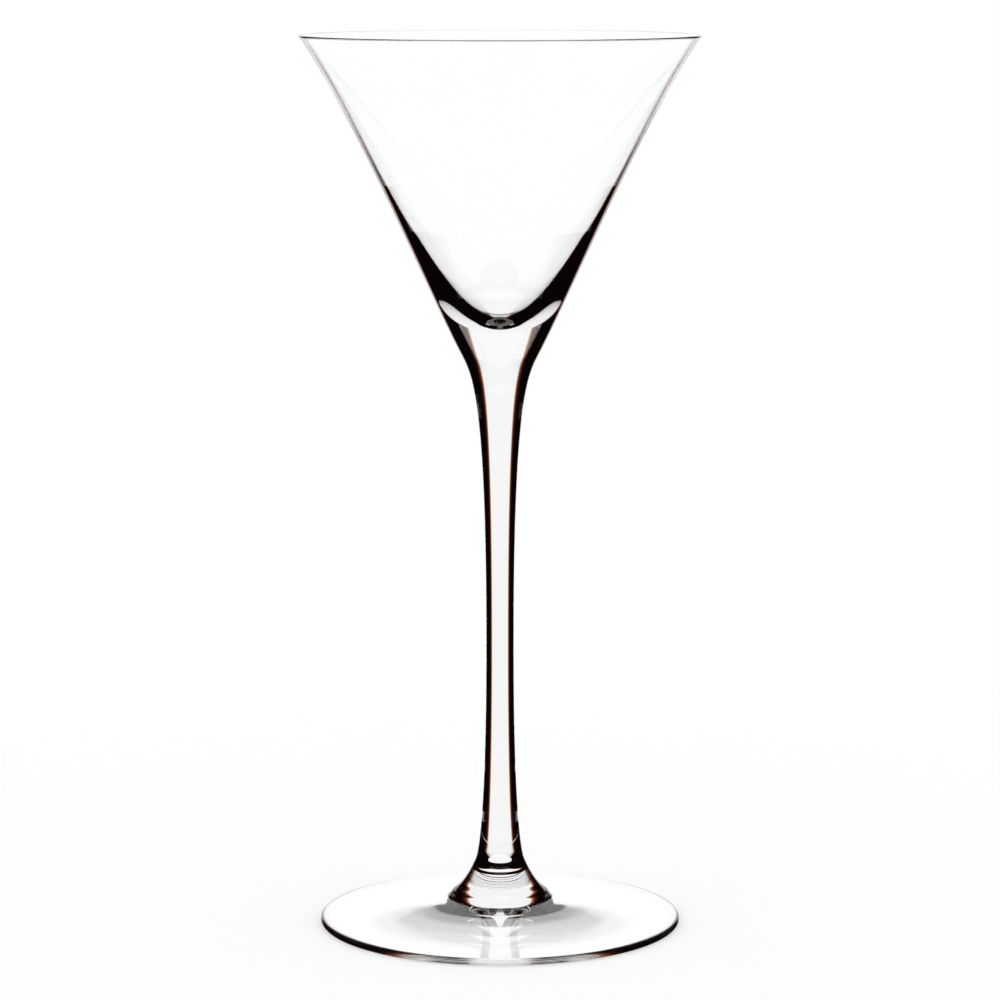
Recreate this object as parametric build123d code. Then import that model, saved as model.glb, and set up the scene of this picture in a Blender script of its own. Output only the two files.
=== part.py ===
from build123d import *
import os
from math import cos, radians, sin

# A long-stemmed martini glass in clear glass, made of three gathers welded hot: a blown bowl, a
# solid drawn stem and a spun foot. It is round about Z and stands on z = 0. Millimetres, degrees.
#
# Each piece is half an outline turned once about Z. An outline is a chain of cubic curves. A lean
# is the angle of the outline from upright, positive where it opens outwards going up. A pull is
# the length of a curve's handle, so how far the curve holds its lean before it turns.
LEVEL = 90.0

# Whole glass
HEIGHT = 248.0
RIM_RADIUS = 55.0
FOOT_RADIUS = 50.5

# Bowl: a cone that opens a little more at the lip, thin above and heavy below
LIP_RADIUS = 0.45
LIP_LEAN = 34.0
LIP_PULL = 30.0
INNER_LIP_LEAN = 32.5
INNER_LIP_PULL = 22.0
WELL_TOP = (24.6, 194.5)
WELL_TOP_LEAN = 30.8
WELL_TOP_PULL_UP = 13.5
WELL_TOP_PULL_DOWN = 25.5
WELL_FLOOR = 168.9
WELL_FLOOR_PULL = 6.2

# Weld between bowl and stem, where the outline runs through unbroken
BOWL_WELD = (10.6, 160.0)
BOWL_WELD_LEAN = 27.7
BOWL_WELD_PULL_UP = 21.0
BOWL_WELD_PULL_DOWN = 6.5

# Stem: drawn thin low down
WAIST = (3.85, 80.0)
WAIST_PULL_UP = 67.0
WAIST_PULL_DOWN = 44.0

# Weld between stem and foot, where the outline breaks a little
FOOT_WELD = (7.0, 17.4)
STEM_FOOT_LEAN = -27.0
STEM_FOOT_PULL = 3.0

# Hub of the foot: it spreads to a rounded shoulder that drops onto the disc
HUB_LEAN = -24.0
HUB_PULL = 3.0
SHOULDER = (13.0, 8.95)
SHOULDER_LEAN = -59.0
SHOULDER_PULL_UP = 3.0
SHOULDER_PULL_DOWN = 0.8
HUB_FOOT = (14.8, 7.0)
HUB_FOOT_LEAN = -81.0
HUB_FOOT_PULL_UP = 0.4
HUB_FOOT_PULL_DOWN = 12.0

# Disc of the foot: spun, with a rounded edge, a flat ring to stand on and a hollow underside
EDGE_RADIUS = 1.0
EDGE_LEAN = -86.5
EDGE_PULL = 12.0
RING_INNER_RADIUS = 48.0
KICK_HEIGHT = 4.1
KICK_CROWN_PULL = 15.0
KICK_LEAN = -86.0
KICK_PULL = 11.0


def along(lean, pull):
    """The step, as (radius, height), made by going down an outline of this lean for this length."""
    return (-pull * sin(radians(lean)), -pull * cos(radians(lean)))


def flow(top, top_lean, top_pull, bottom, bottom_lean, bottom_pull):
    """One smooth stretch of outline in the XZ plane, from its upper end down to its lower end."""
    leave = along(top_lean, top_pull)
    arrive = along(bottom_lean, bottom_pull)
    points = [
        top,
        (top[0] + leave[0], top[1] + leave[1]),
        (bottom[0] - arrive[0], bottom[1] - arrive[1]),
        bottom,
    ]
    return Bezier(*[Vector(radius, 0, height) for radius, height in points])


def straight(start, end):
    """A straight stretch of outline in the XZ plane."""
    return Line((start[0], 0, start[1]), (end[0], 0, end[1]))


def rounding(start, middle, end):
    """A round stretch of outline in the XZ plane, through three points."""
    return ThreePointArc(*[Vector(radius, 0, height) for radius, height in (start, middle, end)])


def turned(outline):
    """The solid that a closed half outline sweeps in one full turn about the axis of the glass."""
    return revolve(make_face(outline), Axis.Z)


def make_bowl():
    """The blown cone with its fire-polished lip, its rounded well and the solid base under it."""
    lip_middle = (RIM_RADIUS - LIP_RADIUS, HEIGHT - LIP_RADIUS)
    across = (LIP_RADIUS * cos(radians(LIP_LEAN)), LIP_RADIUS * sin(radians(LIP_LEAN)))
    outer_lip = (lip_middle[0] + across[0], lip_middle[1] - across[1])
    inner_lip = (lip_middle[0] - across[0], lip_middle[1] + across[1])
    crown = (lip_middle[0] + across[1], lip_middle[1] + across[0])
    floor = (0, WELL_FLOOR)
    weld_middle = (0, BOWL_WELD[1])
    outline = [
        flow(outer_lip, LIP_LEAN, LIP_PULL, BOWL_WELD, BOWL_WELD_LEAN, BOWL_WELD_PULL_UP),
        straight(BOWL_WELD, weld_middle),
        straight(weld_middle, floor),
        flow(WELL_TOP, WELL_TOP_LEAN, WELL_TOP_PULL_DOWN, floor, LEVEL, WELL_FLOOR_PULL),
        flow(inner_lip, INNER_LIP_LEAN, INNER_LIP_PULL, WELL_TOP, WELL_TOP_LEAN, WELL_TOP_PULL_UP),
        rounding(inner_lip, crown, outer_lip),
    ]
    return turned(outline)


def make_stem():
    """The solid drawn stem, from the weld under the bowl to the weld on the foot."""
    outline = [
        flow(BOWL_WELD, BOWL_WELD_LEAN, BOWL_WELD_PULL_DOWN, WAIST, 0, WAIST_PULL_UP),
        flow(WAIST, 0, WAIST_PULL_DOWN, FOOT_WELD, STEM_FOOT_LEAN, STEM_FOOT_PULL),
        straight(FOOT_WELD, (0, FOOT_WELD[1])),
        straight((0, FOOT_WELD[1]), (0, BOWL_WELD[1])),
        straight((0, BOWL_WELD[1]), BOWL_WELD),
    ]
    return turned(outline)


def make_foot():
    """The spun disc: hub with its shoulder, top, round edge, standing ring and hollow underside."""
    edge_middle = (FOOT_RADIUS - EDGE_RADIUS, EDGE_RADIUS)
    edge_top = (
        edge_middle[0] + EDGE_RADIUS * cos(radians(EDGE_LEAN)),
        edge_middle[1] - EDGE_RADIUS * sin(radians(EDGE_LEAN)),
    )
    edge_side = (FOOT_RADIUS, EDGE_RADIUS)
    edge_bottom = (edge_middle[0], 0)
    ring_inner = (RING_INNER_RADIUS, 0)
    kick_top = (0, KICK_HEIGHT)
    outline = [
        flow(FOOT_WELD, HUB_LEAN, HUB_PULL, SHOULDER, SHOULDER_LEAN, SHOULDER_PULL_UP),
        flow(
            SHOULDER, SHOULDER_LEAN, SHOULDER_PULL_DOWN,
            HUB_FOOT, HUB_FOOT_LEAN, HUB_FOOT_PULL_UP,
        ),
        flow(HUB_FOOT, HUB_FOOT_LEAN, HUB_FOOT_PULL_DOWN, edge_top, EDGE_LEAN, EDGE_PULL),
        rounding(edge_top, edge_side, edge_bottom),
        straight(edge_bottom, ring_inner),
        flow(kick_top, -LEVEL, KICK_CROWN_PULL, ring_inner, KICK_LEAN, KICK_PULL),
        straight(kick_top, (0, FOOT_WELD[1])),
        straight((0, FOOT_WELD[1]), FOOT_WELD),
    ]
    return turned(outline)


os.makedirs("parts", exist_ok=True)
PIECES = {"bowl": make_bowl(), "stem": make_stem(), "foot": make_foot()}
for node, solid in PIECES.items():
    export_step(solid, f"parts/{node}.step")
    print(node, "volume", round(solid.volume), "mm3")
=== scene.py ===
import math
import bpy
import numpy as np
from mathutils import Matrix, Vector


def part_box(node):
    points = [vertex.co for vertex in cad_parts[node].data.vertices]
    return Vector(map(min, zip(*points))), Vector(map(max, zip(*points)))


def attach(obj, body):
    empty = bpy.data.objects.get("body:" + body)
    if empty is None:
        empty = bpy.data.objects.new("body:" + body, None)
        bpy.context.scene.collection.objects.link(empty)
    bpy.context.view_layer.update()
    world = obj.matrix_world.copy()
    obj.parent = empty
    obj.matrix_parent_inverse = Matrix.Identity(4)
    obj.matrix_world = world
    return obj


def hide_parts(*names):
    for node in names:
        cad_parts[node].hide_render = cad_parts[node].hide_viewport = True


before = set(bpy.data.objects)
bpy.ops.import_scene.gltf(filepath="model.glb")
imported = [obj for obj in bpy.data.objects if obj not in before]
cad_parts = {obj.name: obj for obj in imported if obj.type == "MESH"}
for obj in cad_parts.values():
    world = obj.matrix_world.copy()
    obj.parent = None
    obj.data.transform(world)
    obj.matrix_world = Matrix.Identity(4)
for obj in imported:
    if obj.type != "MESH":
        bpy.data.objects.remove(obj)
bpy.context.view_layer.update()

# ---------------------------------------------------------------------------------------------
# The viewpoint. A long lens stands a little above the lip of the glass and a metre away, and is
# tipped down a few degrees so that the whole glass fits.
# ---------------------------------------------------------------------------------------------
VIEW_AZIMUTH = 225.0
VIEW_DISTANCE = 1.074
VIEW_HEIGHT = 0.2764
VIEW_TILT = 8.305
VIEW_LENS = 140.7
SENSOR_WIDTH = 36.0


def toward(azimuth):
    """The level unit vector at this azimuth in degrees, counted from +Y round towards -X."""
    turn = math.radians(azimuth)
    return (-math.sin(turn), math.cos(turn), 0.0)


ahead = toward(VIEW_AZIMUTH)
lens = bpy.data.cameras.new("viewpoint")
lens.lens = VIEW_LENS
lens.sensor_width = SENSOR_WIDTH
viewpoint = bpy.data.objects.new("viewpoint", lens)
viewpoint.location = (-ahead[0] * VIEW_DISTANCE, -ahead[1] * VIEW_DISTANCE, VIEW_HEIGHT)
viewpoint.rotation_euler = (math.radians(90 - VIEW_TILT), 0.0, math.radians(VIEW_AZIMUTH))
bpy.context.scene.collection.objects.link(viewpoint)
bpy.context.scene.camera = viewpoint
bpy.context.scene.view_settings.view_transform = "Standard"

# ---------------------------------------------------------------------------------------------
# The room. A glass is set in an even white room. Only rays that have met the glass see a bright
# backdrop with black screens of painted shade on both sides, so that its edges draw dark, and
# painted orange-brown glints where the white meets the black. Much of what the bowl's wall
# mirrors is painted white instead, a painted reflection of the white table and room. Those rays
# are told by how often they were mirrored, how steeply they leave, and the sheets they cross.
# ---------------------------------------------------------------------------------------------
# Angles are in degrees, and REACH_BACK is how far ahead a direction points, from 1 to -1. A pair
# is where a screen or a rule begins, and where it is full.
BACKDROP_HALF = 24.0
BACKDROP_EDGE = 10.0
BACKDROP_REACH_BACK = (-0.2, -0.3)
BACKDROP_FOOT = (-62.0, -68.0)
# Three more backdrops, white only in the glass as painted light, stand behind the viewpoint, each
# (azimuth, half its width).
BACK_BACKDROPS = [(0.0, 18.0), (45.0, 26.0), (90.0, 18.0)]
# Rules for the painted reflections that the glass mirrors.
MIRROR_BACKDROP_CUT = 4.0
INSIDE_LIFT = (-3.0, -6.0)
INSIDE_GAP = (25.0, 21.0)
ONE_WALL = 2
BOTH_WALLS = 4
WALLS_LIFT = (-16.0, -10.0)
OUTSIDE_LIFTS = [(-54.0, -60.0), (-41.0, -45.0), (-22.0, -26.0), (-14.0, -18.0)]
# Painted shade: the black that the glass shows of the screens.
PAINTED_SHADE_COLOUR = (0.0025, 0.001, 0.0012, 1)
# Painted glints: orange-brown fringes painted where the white backdrop meets the black shade.
PAINTED_DEEP_FRINGE_GLINT = (0.5, (0.05, 0.011, 0.006, 1))
PAINTED_FRINGE_GLINT = (0.22, (0.42, 0.13, 0.035, 1))

room = bpy.data.worlds.new("room")
bpy.context.scene.world = room
room.use_nodes = True
room.node_tree.nodes.clear()


def step(tree, kind, *inputs, **settings):
    """Adds a node of this kind to a node tree, sets its settings, and fills its inputs in order."""
    node = tree.nodes.new(kind)
    for name, value in settings.items():
        setattr(node, name, value)
    for socket, value in zip(node.inputs, inputs):
        if isinstance(value, bpy.types.NodeSocket):
            tree.links.new(value, socket)
        elif value is not None:
            socket.default_value = value
    return node


def fold(tree, operation, first, *others):
    """Takes numbers or outputs together, one after the other, with one operation."""
    for other in others:
        first = step(tree, "ShaderNodeMath", first, other, operation=operation).outputs[0]
    return first


def alone(tree, operation, value):
    """An operation on one number or output by itself."""
    return step(tree, "ShaderNodeMath", value, operation=operation).outputs[0]


def counts(tree, value, number):
    """1 where a whole number, such as how often a ray was mirrored, is this one, and 0 elsewhere."""
    return step(tree, "ShaderNodeMath", value, number, 0.5, operation="COMPARE").outputs[0]


def more(tree, value, number):
    """1 where a whole number is more than this one, and 0 elsewhere."""
    return step(tree, "ShaderNodeMath", value, number + 0.5, operation="GREATER_THAN").outputs[0]


def rise(tree, value, start, end):
    """A straight rise from 0 to 1 while a value goes from start to end, flat outside them."""
    return step(tree, "ShaderNodeMapRange", value, start, end, 0.0, 1.0).outputs[0]


def share(tree, direction, other):
    """The part of a direction that lies along another vector: their dot product."""
    return step(tree, "ShaderNodeVectorMath", direction, other, operation="DOT_PRODUCT").outputs["Value"]


tree = room.node_tree
direction = step(tree, "ShaderNodeTexCoord").outputs["Generated"]
forward = share(tree, direction, ahead)
sideways = alone(tree, "ABSOLUTE", share(tree, direction, toward(VIEW_AZIMUTH + 90)))
upward = share(tree, direction, (0, 0, 1))
half = math.radians(BACKDROP_HALF)
edge = math.radians(BACKDROP_HALF + BACKDROP_EDGE)

beside = rise(tree, sideways, math.sin(half), math.sin(edge))
dark_through = fold(tree, "MAXIMUM", beside, rise(tree, forward, *BACKDROP_REACH_BACK))
flat = step(tree, "ShaderNodeVectorMath", direction, (1, 1, 0), operation="MULTIPLY").outputs[0]
flat = step(tree, "ShaderNodeVectorMath", flat, operation="NORMALIZE").outputs[0]
for azimuth, side_half in BACK_BACKDROPS:
    turn = alone(tree, "ARCCOSINE", share(tree, flat, toward(azimuth)))
    inner = math.radians(side_half)
    outer = math.radians(side_half + BACKDROP_EDGE)
    dark_through = fold(tree, "MINIMUM", dark_through, rise(tree, turn, inner, outer))

turn = alone(tree, "ARCCOSINE", share(tree, flat, ahead))
lift = alone(tree, "ARCSINE", upward)
dark_under = rise(tree, lift, *np.radians(BACKDROP_FOOT))

# How often a ray was mirrored, went in or out of the glass, and crossed a clear sheet or weld.
# A ray that the outside mirrors, without having gone in, sees a backdrop a little narrower.
path = step(tree, "ShaderNodeLightPath").outputs
mirrorings = path["Glossy Depth"]
passes = path["Transmission Depth"]
sheets = path["Transparent Depth"]
outer_mirror = counts(tree, passes, 0)
narrower = fold(tree, "MULTIPLY", outer_mirror, math.radians(MIRROR_BACKDROP_CUT))
dark_beside = rise(tree, fold(tree, "ADD", turn, narrower), half, edge)
dark_ahead = fold(tree, "MAXIMUM", dark_beside, dark_under)

# A ray mirrored once inside the wall that leaves downwards by the inside sheet sees painted white,
# but for a painted dark gap straight ahead. One that has been through both walls, crossed no sheet
# or weld and does not leave steeply downwards sees only painted white. Both are painted reflections.
mirrored_once = counts(tree, mirrorings, 1)
by_inside = fold(tree, "MULTIPLY", mirrored_once, counts(tree, passes, ONE_WALL), counts(tree, sheets, 1))
by_inside = fold(tree, "MULTIPLY", by_inside, rise(tree, lift, *np.radians(INSIDE_LIFT)))
dark_gap = rise(tree, turn, *np.radians(INSIDE_GAP))
dark_mirrored = step(tree, "ShaderNodeMix", by_inside, None, dark_ahead, dark_gap).outputs[0]
through_both = more(tree, passes, BOTH_WALLS - 1)
both_walls = fold(tree, "MULTIPLY", mirrored_once, through_both, counts(tree, sheets, 0))
both_walls = fold(tree, "MULTIPLY", both_walls, rise(tree, lift, *np.radians(WALLS_LIFT)))
dark_mirrored = fold(tree, "MULTIPLY", dark_mirrored, fold(tree, "SUBTRACT", 1.0, both_walls))

# A ray that the outside of the bowl sends down steeply enough sees white, a painted reflection of
# the table, which itself is left out. The higher up it starts, the more outside sheets it crosses,
# and the less steep it has to be.
by_outside = 0.0
for number, lifts in enumerate(OUTSIDE_LIFTS):
    crossed = counts(tree, sheets, number + 1)
    low = fold(tree, "MULTIPLY", crossed, rise(tree, lift, *np.radians(lifts)))
    by_outside = fold(tree, "MAXIMUM", by_outside, low)
by_outside = fold(tree, "MULTIPLY", by_outside, mirrored_once, outer_mirror)

mirrored = more(tree, mirrorings, 0)
darkness = step(tree, "ShaderNodeMix", mirrored, None, dark_through, dark_mirrored).outputs[0]
ramp = step(tree, "ShaderNodeValToRGB", darkness)
ramp.color_ramp.elements[0].color = (1, 1, 1, 1)
ramp.color_ramp.elements[1].color = PAINTED_SHADE_COLOUR
# Painted orange-brown glints between the white and the painted black shade.
for position, colour in (PAINTED_FRINGE_GLINT, PAINTED_DEEP_FRINGE_GLINT):
    ramp.color_ramp.elements.new(position).color = colour

met_glass = more(tree, fold(tree, "ADD", passes, mirrorings), 0)
not_table = counts(tree, path["Diffuse Depth"], 0)
not_outside = fold(tree, "SUBTRACT", 1.0, by_outside)
# Rays that met the glass see this painted shade and light; the camera and the table see only white.
sees_painted_light = fold(tree, "MULTIPLY", met_glass, not_table, not_outside)
seen = step(tree, "ShaderNodeMix", data_type="RGBA")
tree.links.new(sees_painted_light, seen.inputs[0])
seen.inputs[6].default_value = (1, 1, 1, 1)
tree.links.new(ramp.outputs[0], seen.inputs[7])
light = step(tree, "ShaderNodeBackground", seen.outputs[2], 1.0)
step(tree, "ShaderNodeOutputWorld", light.outputs[0])

# ---------------------------------------------------------------------------------------------
# The table and the cards. A plain white top. Seen in or through the glass it is left out, and
# the room takes its place, so that the stem mirrors the painted shade of the screens. One glowing
# white card of painted light lies under the hub and one over the mouth, seen only in or through
# the glass. Clear sheets round the bowl only count what passes them, so that the room can tell
# how high up the bowl a ray left it.
# ---------------------------------------------------------------------------------------------
# Cards and the inside sheet are (inner radius, outer radius, height), and the outside sheets
# (inner radius, height). A sheet starts just clear of the wall of the bowl.
TABLE_HALF = 3.0
SHEET_HALF = 3.0
CARD_SIDES = 96
NEVER = -1
HUB_PAINTED_LIGHT = (0.0, 0.0055, 0.0002)
HUB_PAINTED_LIGHT_MIRRORS = 1
MOUTH_PAINTED_LIGHT = (0.0, 0.054, 0.2485)
MOUTH_PAINTED_LIGHT_MIRRORS = 2
OUTSIDE_SHEETS = [(0.0168, 0.172), (0.0191, 0.177), (0.0275, 0.195), (0.0334, 0.207)]
INSIDE_SHEET = (0.0182, SHEET_HALF, 0.175)

table_mesh = bpy.data.meshes.new("table_top")
corners = np.array([(-1, -1, 0), (1, -1, 0), (1, 1, 0), (-1, 1, 0)]) * TABLE_HALF
table_mesh.from_pydata(corners.tolist(), [], [(0, 1, 2, 3)])
table = bpy.data.objects.new("table_top", table_mesh)
table_white = bpy.data.materials.new("table_white")
table_white.use_nodes = True
table_white.node_tree.nodes.clear()
white = step(table_white.node_tree, "ShaderNodeBsdfDiffuse", (1.0, 1.0, 1.0, 1)).outputs[0]
step(table_white.node_tree, "ShaderNodeOutputMaterial", white)
table_mesh.materials.append(table_white)
table.visible_transmission = False
table.visible_glossy = False
bpy.context.scene.collection.objects.link(table)


def card(name, size, mirrors, through, mirror):
    """A level ring (inner radius, outer radius, height), of points (r cos a, r sin a, height). It
    is white for rays that the glass has mirrored up to this many times, and clear for the rest.
    Only rays that come through the glass, or off its mirror, meet it."""
    inner, outer, height = size
    turn = np.linspace(0, 2 * math.pi, CARD_SIDES, endpoint=False)
    circle = np.stack((np.cos(turn), np.sin(turn), np.zeros(CARD_SIDES)), axis=1)
    points = np.concatenate((circle * inner, circle * outer)) + (0, 0, height)
    here = np.arange(CARD_SIDES)
    after = (here + 1) % CARD_SIDES
    faces = np.stack((here, here + CARD_SIDES, after + CARD_SIDES, after), axis=1)
    mesh = bpy.data.meshes.new(name)
    mesh.from_pydata(points.tolist(), [], faces.tolist())
    material = bpy.data.materials.new(name)
    material.use_nodes = True
    tree = material.node_tree
    tree.nodes.clear()
    too_often = more(tree, step(tree, "ShaderNodeLightPath").outputs["Glossy Depth"], mirrors)
    # Painted light: this white glows, though it is no lamp, and stands in for lit surroundings seen in the
    # glass.
    white = step(tree, "ShaderNodeEmission", (1.0, 1.0, 1.0, 1), 1.0).outputs[0]
    clear = step(tree, "ShaderNodeBsdfTransparent").outputs[0]
    shader = step(tree, "ShaderNodeMixShader", too_often, white, clear).outputs[0]
    step(tree, "ShaderNodeOutputMaterial", shader)
    mesh.materials.append(material)
    ring = bpy.data.objects.new(name, mesh)
    ring.visible_camera = False
    ring.visible_diffuse = False
    ring.visible_shadow = False
    ring.visible_transmission = through
    ring.visible_glossy = mirror
    bpy.context.scene.collection.objects.link(ring)


# Painted light: a glowing white ring under the hub, seen only through the glass.
card("hub_painted_light", HUB_PAINTED_LIGHT, HUB_PAINTED_LIGHT_MIRRORS, through=True, mirror=False)
# Painted light: a glowing white ring over the mouth, seen only in or through the glass.
card("mouth_painted_light", MOUTH_PAINTED_LIGHT, MOUTH_PAINTED_LIGHT_MIRRORS, through=True, mirror=True)
card("inside_sheet", INSIDE_SHEET, NEVER, through=True, mirror=False)
for number, (inner, height) in enumerate(OUTSIDE_SHEETS):
    sheet = (inner, SHEET_HALF, height)
    card(f"outside_sheet_{number}", sheet, NEVER, through=False, mirror=True)

# ---------------------------------------------------------------------------------------------
# The bowl. A gather of clear glass blown out into a cone, thin at the fire-polished lip and
# thick in the rounded well, with a solid base that is welded hot to the top of the stem.
# ---------------------------------------------------------------------------------------------
MM = 0.001
SEGMENTS = 360
bowl_low, bowl_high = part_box("bowl")
RIM_RADIUS = bowl_high.x
HEIGHT = bowl_high.z
LIP_RADIUS = 0.45 * MM
LIP_LEAN = 34.0
LIP_PULL = 30.0 * MM
INNER_LIP_LEAN = 32.5
INNER_LIP_PULL = 22.0 * MM
WELL_TOP = (24.6 * MM, 194.5 * MM)
WELL_TOP_LEAN = 30.8
WELL_TOP_PULL_UP = 13.5 * MM
WELL_TOP_PULL_DOWN = 25.5 * MM
WELL_FLOOR = (0.0, 168.9 * MM)
WELL_FLOOR_PULL = 6.2 * MM
LEVEL = 90.0
BOWL_WELD = (10.6 * MM, bowl_low.z)
BOWL_WELD_LEAN = 27.7
BOWL_WELD_PULL_UP = 21.0 * MM
WELD_SAG = 0.02 * MM
GLASS_IOR = 1.5
GLASS_TINT = (0.99, 0.994, 0.996, 1)
STREAK_SCALE = 70.0
STREAK_DETAIL = 2.0
BLOWN_SCALE = 55.0
BLOWN_STRETCH = (1.0, 1.0, 0.6)
BLOWN_DEPTH = 0.003 * MM


def along(lean, pull):
    """The step, as (radius, height), made by going down an outline of this lean for this length."""
    return np.array((-pull * math.sin(math.radians(lean)), -pull * math.cos(math.radians(lean))))


def flow(top, top_lean, top_pull, bottom, bottom_lean, bottom_pull, steps):
    """A cubic curve from top down to bottom. It leaves at one lean from upright and arrives at the
    other, and each pull is how far it holds them. Points crowd at its ends."""
    first = top + along(top_lean, top_pull)
    second = bottom - along(bottom_lean, bottom_pull)
    t = (1 - np.cos(np.linspace(0, math.pi, steps)))[:, None] / 2
    return (1 - t) ** 3 * top + 3 * (1 - t) ** 2 * t * first + 3 * (1 - t) * t ** 2 * second + t ** 3 * bottom


def rounding(middle, radius, start, end, steps):
    """Part of a circle about middle, from one angle in degrees to another, counted from outwards."""
    turn = np.radians(np.linspace(start, end, steps))
    return middle + radius * np.stack((np.cos(turn), np.sin(turn)), axis=1)


def weld_face(rim, sag=0.0):
    """A weld face, from the axis out to its rim: three points, level but for the sag of two. The
    lower piece's face sags a hair, so that light meets both faces and is counted by both."""
    return np.array(rim) * [(0.0, 1), (0.5, 1), (1, 1)] - [(0, sag), (0, sag), (0, 0)]


def turned(name, stretches, welds):
    """Turns half an outline once about Z into a closed mesh. The outline is its stretches, arrays
    of (radius, height) laid end to end, upwards on the outside and from axis to axis. Each point
    (r, z) becomes a ring of (r cos a, r sin a, z), and its two ends become poles. Faces of the
    stretches numbered in welds take the second material, with a sharp edge round them."""
    outline = np.concatenate([stretches[0]] + [stretch[1:] for stretch in stretches[1:]])
    rings = outline[1:-1]
    turn = np.linspace(0, 2 * math.pi, SEGMENTS, endpoint=False)
    x = rings[:, 0, None] * np.cos(turn)
    y = rings[:, 0, None] * np.sin(turn)
    z = np.broadcast_to(rings[:, 1, None], x.shape)
    poles = [(0, 0, outline[0, 1]), (0, 0, outline[-1, 1])]
    points = np.concatenate((np.stack((x, y, z), axis=2).reshape(-1, 3), poles))
    here = np.arange(SEGMENTS)
    after = (here + 1) % SEGMENTS
    ring_start = np.arange(len(rings) - 1)[:, None] * SEGMENTS
    above = ring_start + SEGMENTS
    walls = np.stack((ring_start + here, ring_start + after, above + after, above + here), axis=2)
    low_pole = np.full(SEGMENTS, len(points) - 2)
    high_pole = low_pole + 1
    last_ring = (len(rings) - 1) * SEGMENTS
    low_fan = np.stack((low_pole, after, here), axis=1)
    high_fan = np.stack((high_pole, last_ring + here, last_ring + after), axis=1)
    mesh = bpy.data.meshes.new(name)
    faces = low_fan.tolist() + walls.reshape(-1, 4).tolist() + high_fan.tolist()
    mesh.from_pydata(points.tolist(), [], faces)

    is_weld = np.isin(np.arange(len(stretches)), welds)
    band_is_weld = np.repeat(is_weld, [len(stretch) - 1 for stretch in stretches])
    mesh.polygons.foreach_set("material_index", np.repeat(band_is_weld, SEGMENTS).astype(np.int32))
    mesh.polygons.foreach_set("use_smooth", np.ones(len(faces), bool))
    ends = np.empty(len(mesh.edges) * 2, np.int32)
    mesh.edges.foreach_get("vertices", ends)
    ring_of = ends.reshape(-1, 2) // SEGMENTS
    weld_rims = np.flatnonzero(np.diff(band_is_weld.astype(int)))
    is_rim = (ring_of[:, 0] == ring_of[:, 1]) & np.isin(ring_of[:, 0], weld_rims)
    mesh.edges.foreach_set("use_edge_sharp", is_rim)
    return mesh


def clear_glass(name, swell, depth, haze=None):
    """Clear fire-polished glass with a breath of colour. The swell function's nodes give a number
    from 0 to 1 for each place on the piece, and the surface stands out there by depth times it.
    Where the haze function's nodes give more than 0, the surface is that rough."""
    material = bpy.data.materials.new(name)
    material.use_nodes = True
    tree = material.node_tree
    tree.nodes.clear()
    spot = step(tree, "ShaderNodeTexCoord").outputs["Object"]
    streaks = step(tree, "ShaderNodeTexNoise", spot, None, STREAK_SCALE, STREAK_DETAIL).outputs["Fac"]
    tint = step(tree, "ShaderNodeValToRGB", streaks)
    tint.color_ramp.elements[0].color = GLASS_TINT
    tint.color_ramp.elements[1].color = (1, 1, 1, 1)
    bump = step(tree, "ShaderNodeBump")
    bump.inputs["Distance"].default_value = depth
    tree.links.new(swell(tree, spot), bump.inputs["Height"])
    shader = step(tree, "ShaderNodeBsdfPrincipled")
    tree.links.new(tint.outputs[0], shader.inputs["Base Color"])
    tree.links.new(bump.outputs[0], shader.inputs["Normal"])
    shader.inputs["Roughness"].default_value = 0.0
    if haze:
        tree.links.new(haze(tree, spot), shader.inputs["Roughness"])
    shader.inputs["IOR"].default_value = GLASS_IOR
    shader.inputs["Transmission Weight"].default_value = 1.0
    step(tree, "ShaderNodeOutputMaterial", shader.outputs[0])
    return material


def fused():
    """A weld face: the glass of two pieces has run together there, so nothing is seen of it."""
    material = bpy.data.materials.new("fused_weld")
    material.use_nodes = True
    tree = material.node_tree
    tree.nodes.clear()
    step(tree, "ShaderNodeOutputMaterial", step(tree, "ShaderNodeBsdfTransparent").outputs[0])
    return material


def place(mesh, node, material):
    """Puts a piece of glass into the scene, in place of its node in the frame."""
    mesh.materials.append(material)
    mesh.materials.append(weld_material)
    piece = bpy.data.objects.new(mesh.name, mesh)
    bpy.context.scene.collection.objects.link(piece)
    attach(piece, "root")
    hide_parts(node)


def blown(tree, spot):
    """Soft waves as wide as a thumb, a little longer up the wall than round it."""
    longer = step(tree, "ShaderNodeMapping", spot, None, None, BLOWN_STRETCH).outputs[0]
    return step(tree, "ShaderNodeTexNoise", longer, None, BLOWN_SCALE, 1.0).outputs["Fac"]


weld_material = fused()
lip_middle = np.array((RIM_RADIUS - LIP_RADIUS, HEIGHT - LIP_RADIUS))
lip = rounding(lip_middle, LIP_RADIUS, -LIP_LEAN, 180 - LIP_LEAN, steps=15)
outside = flow(lip[0], LIP_LEAN, LIP_PULL, BOWL_WELD, BOWL_WELD_LEAN, BOWL_WELD_PULL_UP, steps=96)
inside = flow(lip[-1], INNER_LIP_LEAN, INNER_LIP_PULL, WELL_TOP, WELL_TOP_LEAN, WELL_TOP_PULL_UP, steps=64)
well = flow(WELL_TOP, WELL_TOP_LEAN, WELL_TOP_PULL_DOWN, WELL_FLOOR, LEVEL, WELL_FLOOR_PULL, steps=80)
bowl_outline = [weld_face(BOWL_WELD), outside[::-1], lip, inside, well]
bowl_glass = clear_glass("blown_glass", blown, BLOWN_DEPTH)
place(turned("bowl_glass", bowl_outline, welds=[0]), "bowl", bowl_glass)

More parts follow.
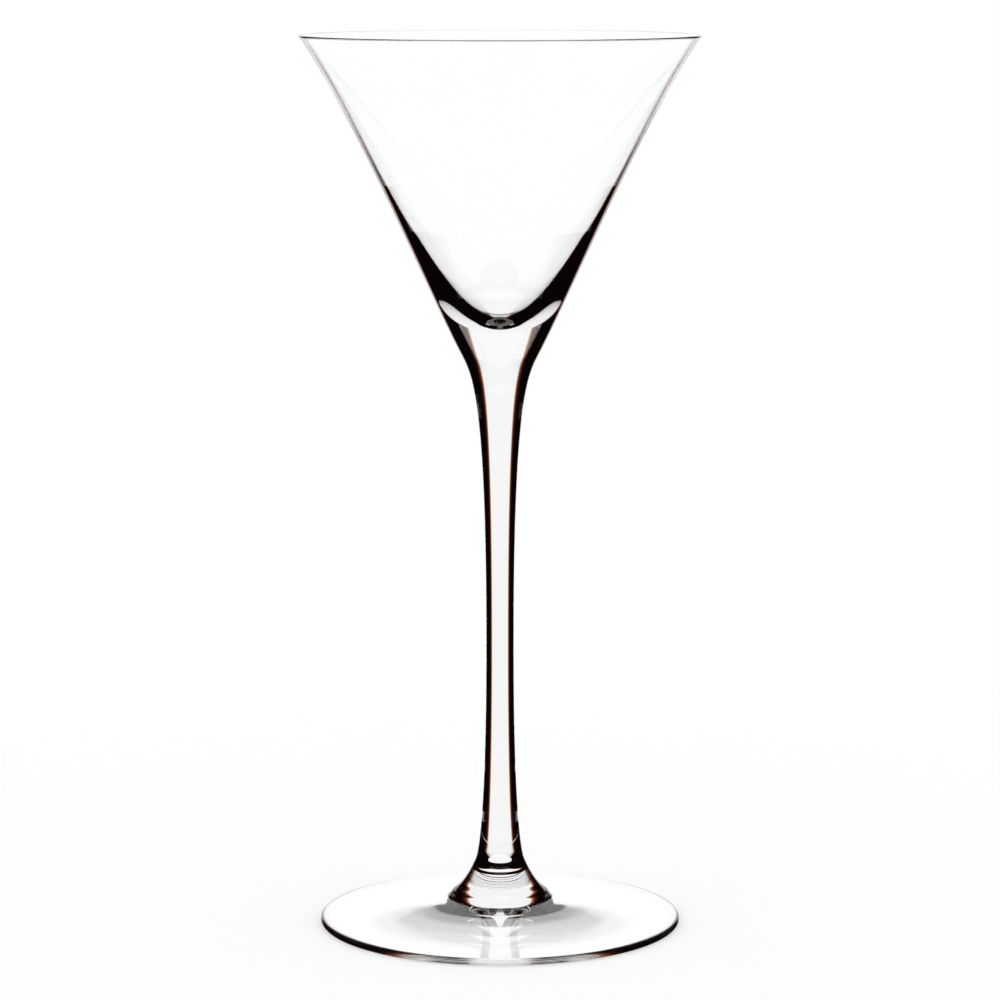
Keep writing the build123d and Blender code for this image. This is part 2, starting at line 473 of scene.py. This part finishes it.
# ---------------------------------------------------------------------------------------------
# The stem. A rod of the same glass drawn out while hot, so it is solid and thinnest low down.
# It flares at both ends, where it is welded hot to the bowl and to the foot.
# ---------------------------------------------------------------------------------------------
BOWL_WELD_PULL_DOWN = 6.5 * MM
WAIST = (3.85 * MM, 80.0 * MM)
WAIST_PULL_UP = 67.0 * MM
WAIST_PULL_DOWN = 44.0 * MM
FOOT_WELD = (7.0 * MM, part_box("foot")[1].z)
STEM_FOOT_LEAN = -27.0
STEM_FOOT_PULL = 3.0 * MM
DRAWN_SCALE = 260.0
DRAWN_DETAIL = 2.0
DRAWN_STRETCH = (1.0, 1.0, 0.05)
DRAWN_DEPTH = 0.004 * MM


def drawn(tree, spot):
    """Fine lines along the stem, drawn out with it: noise that is stretched upwards."""
    longer = step(tree, "ShaderNodeMapping", spot, None, None, DRAWN_STRETCH).outputs[0]
    return step(tree, "ShaderNodeTexNoise", longer, None, DRAWN_SCALE, DRAWN_DETAIL).outputs["Fac"]


upper = flow(BOWL_WELD, BOWL_WELD_LEAN, BOWL_WELD_PULL_DOWN, WAIST, 0, WAIST_PULL_UP, steps=110)
lower = flow(WAIST, 0, WAIST_PULL_DOWN, FOOT_WELD, STEM_FOOT_LEAN, STEM_FOOT_PULL, steps=90)
stem_top = weld_face(BOWL_WELD, WELD_SAG)
stem_outline = [weld_face(FOOT_WELD), lower[::-1], upper[::-1], stem_top[::-1]]
stem_glass = clear_glass("drawn_glass", drawn, DRAWN_DEPTH)
place(turned("stem_glass", stem_outline, welds=[0, 3]), "stem", stem_glass)

# ---------------------------------------------------------------------------------------------
# The foot. A disc of the same glass spun flat while hot, solid, with a hub that takes the stem, a
# rounded edge, and a shallow hollow underneath so that it stands on a ring.
# ---------------------------------------------------------------------------------------------
FOOT_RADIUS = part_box("foot")[1].x
HUB_LEAN = -24.0
HUB_PULL = 3.0 * MM
SHOULDER = (13.0 * MM, 8.95 * MM)
SHOULDER_LEAN = -59.0
SHOULDER_PULL_UP = 3.0 * MM
SHOULDER_PULL_DOWN = 0.8 * MM
HUB_FOOT = (14.8 * MM, 7.0 * MM)
HUB_FOOT_LEAN = -81.0
HUB_FOOT_PULL_UP = 0.4 * MM
HUB_FOOT_PULL_DOWN = 12.0 * MM
EDGE_RADIUS = 1.0 * MM
EDGE_LEAN = -86.5
EDGE_PULL = 12.0 * MM
RING_INNER = (48.0 * MM, 0.0)
KICK_TOP = (0.0, 4.1 * MM)
KICK_CROWN_PULL = 15.0 * MM
KICK_LEAN = -86.0
KICK_PULL = 11.0 * MM
SPUN_SCALE = 45.0
SPUN_WANDER = 1.5
SPUN_DETAIL = 2.0
SPUN_DEPTH = 0.004 * MM
SCUFF_HEIGHT = 0.15 * MM
SCUFF_SCALE = 900.0
SCUFF_DETAIL = 3.0
SCUFF_ROUGHNESS = 0.2


def spun(tree, spot):
    """Low rings round the axis, left by spinning, that wander a little from round."""
    return step(
        tree, "ShaderNodeTexWave", spot, SPUN_SCALE, SPUN_WANDER, SPUN_DETAIL, SPUN_DETAIL,
        wave_type="RINGS", rings_direction="Z",
    ).outputs["Fac"]


def scuffed(tree, spot):
    """Fine scuffs on the ring that the glass stands on, and none anywhere higher."""
    low = rise(tree, share(tree, spot, (0, 0, 1)), SCUFF_HEIGHT, 0.0)
    scratches = step(tree, "ShaderNodeTexNoise", spot, None, SCUFF_SCALE, SCUFF_DETAIL).outputs["Fac"]
    return fold(tree, "MULTIPLY", low, scratches, SCUFF_ROUGHNESS)


hub = flow(FOOT_WELD, HUB_LEAN, HUB_PULL, SHOULDER, SHOULDER_LEAN, SHOULDER_PULL_UP, steps=50)
drop = flow(
    SHOULDER, SHOULDER_LEAN, SHOULDER_PULL_DOWN,
    HUB_FOOT, HUB_FOOT_LEAN, HUB_FOOT_PULL_UP, steps=30,
)
edge_middle = np.array((FOOT_RADIUS - EDGE_RADIUS, EDGE_RADIUS))
foot_edge = rounding(edge_middle, EDGE_RADIUS, -EDGE_LEAN, -LEVEL, steps=21)
foot_top = flow(
    HUB_FOOT, HUB_FOOT_LEAN, HUB_FOOT_PULL_DOWN,
    foot_edge[0], EDGE_LEAN, EDGE_PULL, steps=60,
)
ring = np.array([foot_edge[-1], RING_INNER])
hollow = flow(KICK_TOP, -LEVEL, KICK_CROWN_PULL, RING_INNER, KICK_LEAN, KICK_PULL, steps=60)
downwards = [weld_face(FOOT_WELD, WELD_SAG), hub, drop, foot_top, foot_edge, ring, hollow[::-1]]
foot_outline = [stretch[::-1] for stretch in reversed(downwards)]
foot_glass = clear_glass("spun_glass", spun, SPUN_DEPTH, scuffed)
place(turned("foot_glass", foot_outline, welds=[6]), "foot", foot_glass)

# ---------------------------------------------------------------------------------------------
# Light has to bounce many times inside solid glass before it comes out.
# ---------------------------------------------------------------------------------------------
BOUNCES = 32
cycles = bpy.context.scene.cycles
cycles.max_bounces = BOUNCES
cycles.transmission_bounces = BOUNCES
cycles.glossy_bounces = BOUNCES
cycles.transparent_max_bounces = BOUNCES
